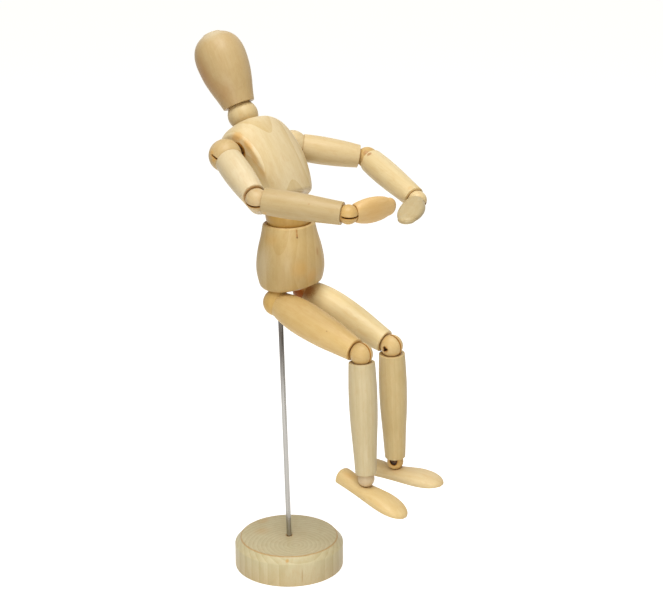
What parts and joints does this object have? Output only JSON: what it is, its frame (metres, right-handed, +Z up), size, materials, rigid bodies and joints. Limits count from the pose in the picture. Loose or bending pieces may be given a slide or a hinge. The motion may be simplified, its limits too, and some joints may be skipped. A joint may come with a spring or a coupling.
{
  "type": "jointed wooden lay figure",
  "caption": "Jointed wooden artist's lay figure seated in the air with its arms curved in front, held by a thin steel rod on a round wooden base.",
  "frame": {"origin": "middle of the base's underside", "axes": "+Z up, the figure faces -Y, its left side is +X"},
  "size_m": [0.119, 0.1676, 0.3222],
  "materials": {
    "pale_wood": "smooth sanded hardwood, thin satin lacquer",
    "warm_wood": "smooth sanded hardwood, warmer tone, thin satin lacquer",
    "grey_wood": "smooth sanded hardwood, greyer tone, nearly matt",
    "steel": "polished round steel"
  },
  "bodies": {
    "stand": {"base_disc": "grey_wood", "support_rod": "steel"},
    "pelvis": {"pelvis": "pale_wood"},
    "waist_ball_body": {"waist_ball": "pale_wood", "waist_stem": "steel"},
    "chest_body": {"chest": "pale_wood", "waist_tongue": "steel"},
    "neck_ball_body": {"neck_ball": "pale_wood", "neck_stem": "steel"},
    "head_body": {"head": "pale_wood", "neck_tongue": "steel"},
    "right_shoulder_ball_body": {"right_shoulder_ball": "pale_wood", "right_shoulder_stem": "steel"},
    "right_upper_arm_body": {"right_shoulder_tongue": "steel", "right_upper_arm": "pale_wood"},
    "right_elbow_ball_body": {"right_elbow_ball": "pale_wood", "right_elbow_stem": "steel"},
    "right_forearm_body": {"right_elbow_tongue": "steel", "right_forearm": "pale_wood"},
    "right_wrist_ball_body": {"right_wrist_ball": "pale_wood", "right_wrist_stem": "steel"},
    "right_hand_body": {"right_hand": "pale_wood", "right_wrist_tongue": "steel"},
    "left_shoulder_ball_body": {"left_shoulder_ball": "pale_wood", "left_shoulder_stem": "steel"},
    "left_upper_arm_body": {"left_shoulder_tongue": "steel", "left_upper_arm": "pale_wood"},
    "left_elbow_ball_body": {"left_elbow_ball": "pale_wood", "left_elbow_stem": "steel"},
    "left_forearm_body": {"left_elbow_tongue": "steel", "left_forearm": "pale_wood"},
    "left_wrist_ball_body": {"left_wrist_ball": "pale_wood", "left_wrist_stem": "steel"},
    "left_hand_body": {"left_hand": "pale_wood", "left_wrist_tongue": "steel"},
    "right_hip_ball_body": {"right_hip_ball": "pale_wood", "right_hip_stem": "steel"},
    "right_thigh_body": {"right_hip_tongue": "steel", "right_thigh": "warm_wood"},
    "right_knee_ball_body": {"right_knee_ball": "warm_wood", "right_knee_stem": "steel"},
    "right_shin_body": {"right_knee_tongue": "steel", "right_shin": "grey_wood"},
    "right_ankle_ball_body": {"right_ankle_ball": "grey_wood", "right_ankle_stem": "steel"},
    "right_foot_body": {"right_ankle_tongue": "steel", "right_foot": "warm_wood"},
    "left_hip_ball_body": {"left_hip_ball": "pale_wood", "left_hip_stem": "steel"},
    "left_thigh_body": {"left_hip_tongue": "steel", "left_thigh": "warm_wood"},
    "left_knee_ball_body": {"left_knee_ball": "warm_wood", "left_knee_stem": "steel"},
    "left_shin_body": {"left_knee_tongue": "steel", "left_shin": "grey_wood"},
    "left_ankle_ball_body": {"left_ankle_ball": "grey_wood", "left_ankle_stem": "steel"},
    "left_foot_body": {"left_ankle_tongue": "steel", "left_foot": "warm_wood"}
  },
  "joints": [
    {"name": "pelvis_swivel", "type": "hinge", "parent": "stand", "child": "pelvis", "pos_m": [-0.00244, 0.00379, 0.17353], "axis": [-0.0157, 0.0244, 0.9996], "continuous": true},
    {"name": "waist_turn", "type": "hinge", "parent": "pelvis", "child": "waist_ball_body", "pos_m": [-0.00322, -0.00409, 0.22364], "axis": [0.0157, -0.0244, -0.9996], "range_deg": [-48.9, 31.1]},
    {"name": "waist_bend", "type": "hinge", "parent": "waist_ball_body", "child": "chest_body", "pos_m": [-0.00322, -0.00409, 0.22364], "axis": [-0.9878, 0.1543, -0.0193], "range_deg": [-39, 3]},
    {"name": "neck_turn", "type": "hinge", "parent": "chest_body", "child": "neck_ball_body", "pos_m": [0.00162, 0.03333, 0.27508], "axis": [-0.0759, -0.5865, -0.8064], "range_deg": [-106.4, 53.6]},
    {"name": "neck_bend", "type": "hinge", "parent": "neck_ball_body", "child": "head_body", "pos_m": [0.00162, 0.03333, 0.27508], "axis": [-0.9143, 0.3637, -0.1785], "range_deg": [-19.2, 36.8]},
    {"name": "right_shoulder_turn", "type": "hinge", "parent": "chest_body", "child": "right_shoulder_ball_body", "pos_m": [-0.02992, 0.01984, 0.25909], "axis": [-0.9959, 0.004, 0.0908], "range_deg": [-4.6, 120.4]},
    {"name": "right_shoulder_bend", "type": "hinge", "parent": "right_shoulder_ball_body", "child": "right_upper_arm_body", "pos_m": [-0.02992, 0.01984, 0.25909], "axis": [0.081, -0.4145, 0.9064], "range_deg": [-59, 7]},
    {"name": "right_elbow_turn", "type": "hinge", "parent": "right_upper_arm_body", "child": "right_elbow_ball_body", "pos_m": [-0.04771, -0.01832, 0.24322], "axis": [-0.3954, -0.8482, -0.3525], "range_deg": [-41.8, 73.2]},
    {"name": "right_elbow_bend", "type": "hinge", "parent": "right_elbow_ball_body", "child": "right_forearm_body", "pos_m": [-0.04771, -0.01832, 0.24322], "axis": [-0.3402, -0.2212, 0.9139], "range_deg": [-48.4, 17.6]},
    {"name": "right_wrist_turn", "type": "hinge", "parent": "right_forearm_body", "child": "right_wrist_ball_body", "pos_m": [-0.02818, -0.06632, 0.23888], "axis": [-0.3755, 0.923, 0.0837], "range_deg": [-90.3, 59.7]},
    {"name": "right_wrist_bend", "type": "hinge", "parent": "right_wrist_ball_body", "child": "right_hand_body", "pos_m": [-0.02818, -0.06632, 0.23888], "axis": [-0.1007, -0.1304, 0.9863], "range_deg": [-85.2, 16.8]},
    {"name": "left_shoulder_turn", "type": "hinge", "parent": "chest_body", "child": "left_shoulder_ball_body", "pos_m": [0.02964, 0.01961, 0.25366], "axis": [-0.9959, 0.004, 0.0908], "range_deg": [-20.7, 104.3]},
    {"name": "left_shoulder_bend", "type": "hinge", "parent": "left_shoulder_ball_body", "child": "left_upper_arm_body", "pos_m": [0.02964, 0.01961, 0.25366], "axis": [-0.0892, 0.1459, -0.9853], "range_deg": [-38.7, 27.3]},
    {"name": "left_elbow_turn", "type": "hinge", "parent": "left_upper_arm_body", "child": "left_elbow_ball_body", "pos_m": [0.05863, -0.01396, 0.24606], "axis": [-0.6444, 0.7459, 0.1688], "range_deg": [-2.7, 112.3]},
    {"name": "left_elbow_bend", "type": "hinge", "parent": "left_elbow_ball_body", "child": "left_forearm_body", "pos_m": [0.05863, -0.01396, 0.24606], "axis": [0.0746, 0.281, -0.9568], "range_deg": [-57.3, 8.7]},
    {"name": "left_wrist_turn", "type": "hinge", "parent": "left_forearm_body", "child": "left_wrist_ball_body", "pos_m": [0.04343, -0.06134, 0.23097], "axis": [-0.2923, -0.9112, -0.2904], "range_deg": [-78.6, 71.4]},
    {"name": "left_wrist_bend", "type": "hinge", "parent": "left_wrist_ball_body", "child": "left_hand_body", "pos_m": [0.04343, -0.06134, 0.23097], "axis": [0.1343, 0.2615, -0.9558], "range_deg": [-98.9, 3.1]},
    {"name": "right_hip_turn", "type": "hinge", "parent": "pelvis", "child": "right_hip_ball_body", "pos_m": [-0.01598, -0.00531, 0.17354], "axis": [0.0157, -0.0244, -0.9996], "range_deg": [-2.9, 38.1]},
    {"name": "right_hip_bend", "type": "hinge", "parent": "right_hip_ball_body", "child": "right_thigh_body", "pos_m": [-0.01598, -0.00531, 0.17354], "axis": [-0.9993, 0.0328, -0.0165], "range_deg": [-78.1, 1.9]},
    {"name": "right_knee_turn", "type": "hinge", "parent": "right_thigh_body", "child": "right_knee_ball_body", "pos_m": [-0.01775, -0.06782, 0.15617], "axis": [-0.0272, -0.9631, -0.2677], "range_deg": [-5, 9]},
    {"name": "right_knee_bend", "type": "hinge", "parent": "right_knee_ball_body", "child": "right_shin_body", "pos_m": [-0.01775, -0.06782, 0.15617], "axis": [0.9992, -0.0187, -0.0339], "range_deg": [-69.9, 1.6]},
    {"name": "right_ankle_turn", "type": "hinge", "parent": "right_shin_body", "child": "right_ankle_ball_body", "pos_m": [-0.02034, -0.07361, 0.08304], "axis": [-0.0353, -0.0789, -0.9963], "range_deg": [-2.9, 32.1]},
    {"name": "right_ankle_bend", "type": "hinge", "parent": "right_ankle_ball_body", "child": "right_foot_body", "pos_m": [-0.02034, -0.07361, 0.08304], "axis": [0.9972, -0.0691, -0.0299], "range_deg": [-35.8, 19.2]},
    {"name": "left_hip_turn", "type": "hinge", "parent": "pelvis", "child": "left_hip_ball_body", "pos_m": [0.01111, -0.0053, 0.17397], "axis": [-0.0157, 0.0244, 0.9996], "range_deg": [-2.3, 38.7]},
    {"name": "left_hip_bend", "type": "hinge", "parent": "left_hip_ball_body", "child": "left_thigh_body", "pos_m": [0.01111, -0.0053, 0.17397], "axis": [-0.9996, -0.0231, -0.0151], "range_deg": [-74, 6]},
    {"name": "left_knee_turn", "type": "hinge", "parent": "left_thigh_body", "child": "left_knee_ball_body", "pos_m": [0.01285, -0.06643, 0.15222], "axis": [-0.0268, 0.9418, 0.3351], "range_deg": [-4.9, 9.1]},
    {"name": "left_knee_bend", "type": "hinge", "parent": "left_knee_ball_body", "child": "left_shin_body", "pos_m": [0.01285, -0.06643, 0.15222], "axis": [0.9978, 0.0049, 0.0661], "range_deg": [-70.3, 1.2]},
    {"name": "left_ankle_turn", "type": "hinge", "parent": "left_shin_body", "child": "left_ankle_ball_body", "pos_m": [0.0177, -0.0665, 0.07898], "axis": [-0.0661, 0.001, 0.9978], "range_deg": [-2.4, 32.6]},
    {"name": "left_ankle_bend", "type": "hinge", "parent": "left_ankle_ball_body", "child": "left_foot_body", "pos_m": [0.0177, -0.0665, 0.07898], "axis": [0.9967, 0.0468, 0.066], "range_deg": [-16.6, 38.4]}
  ]
}
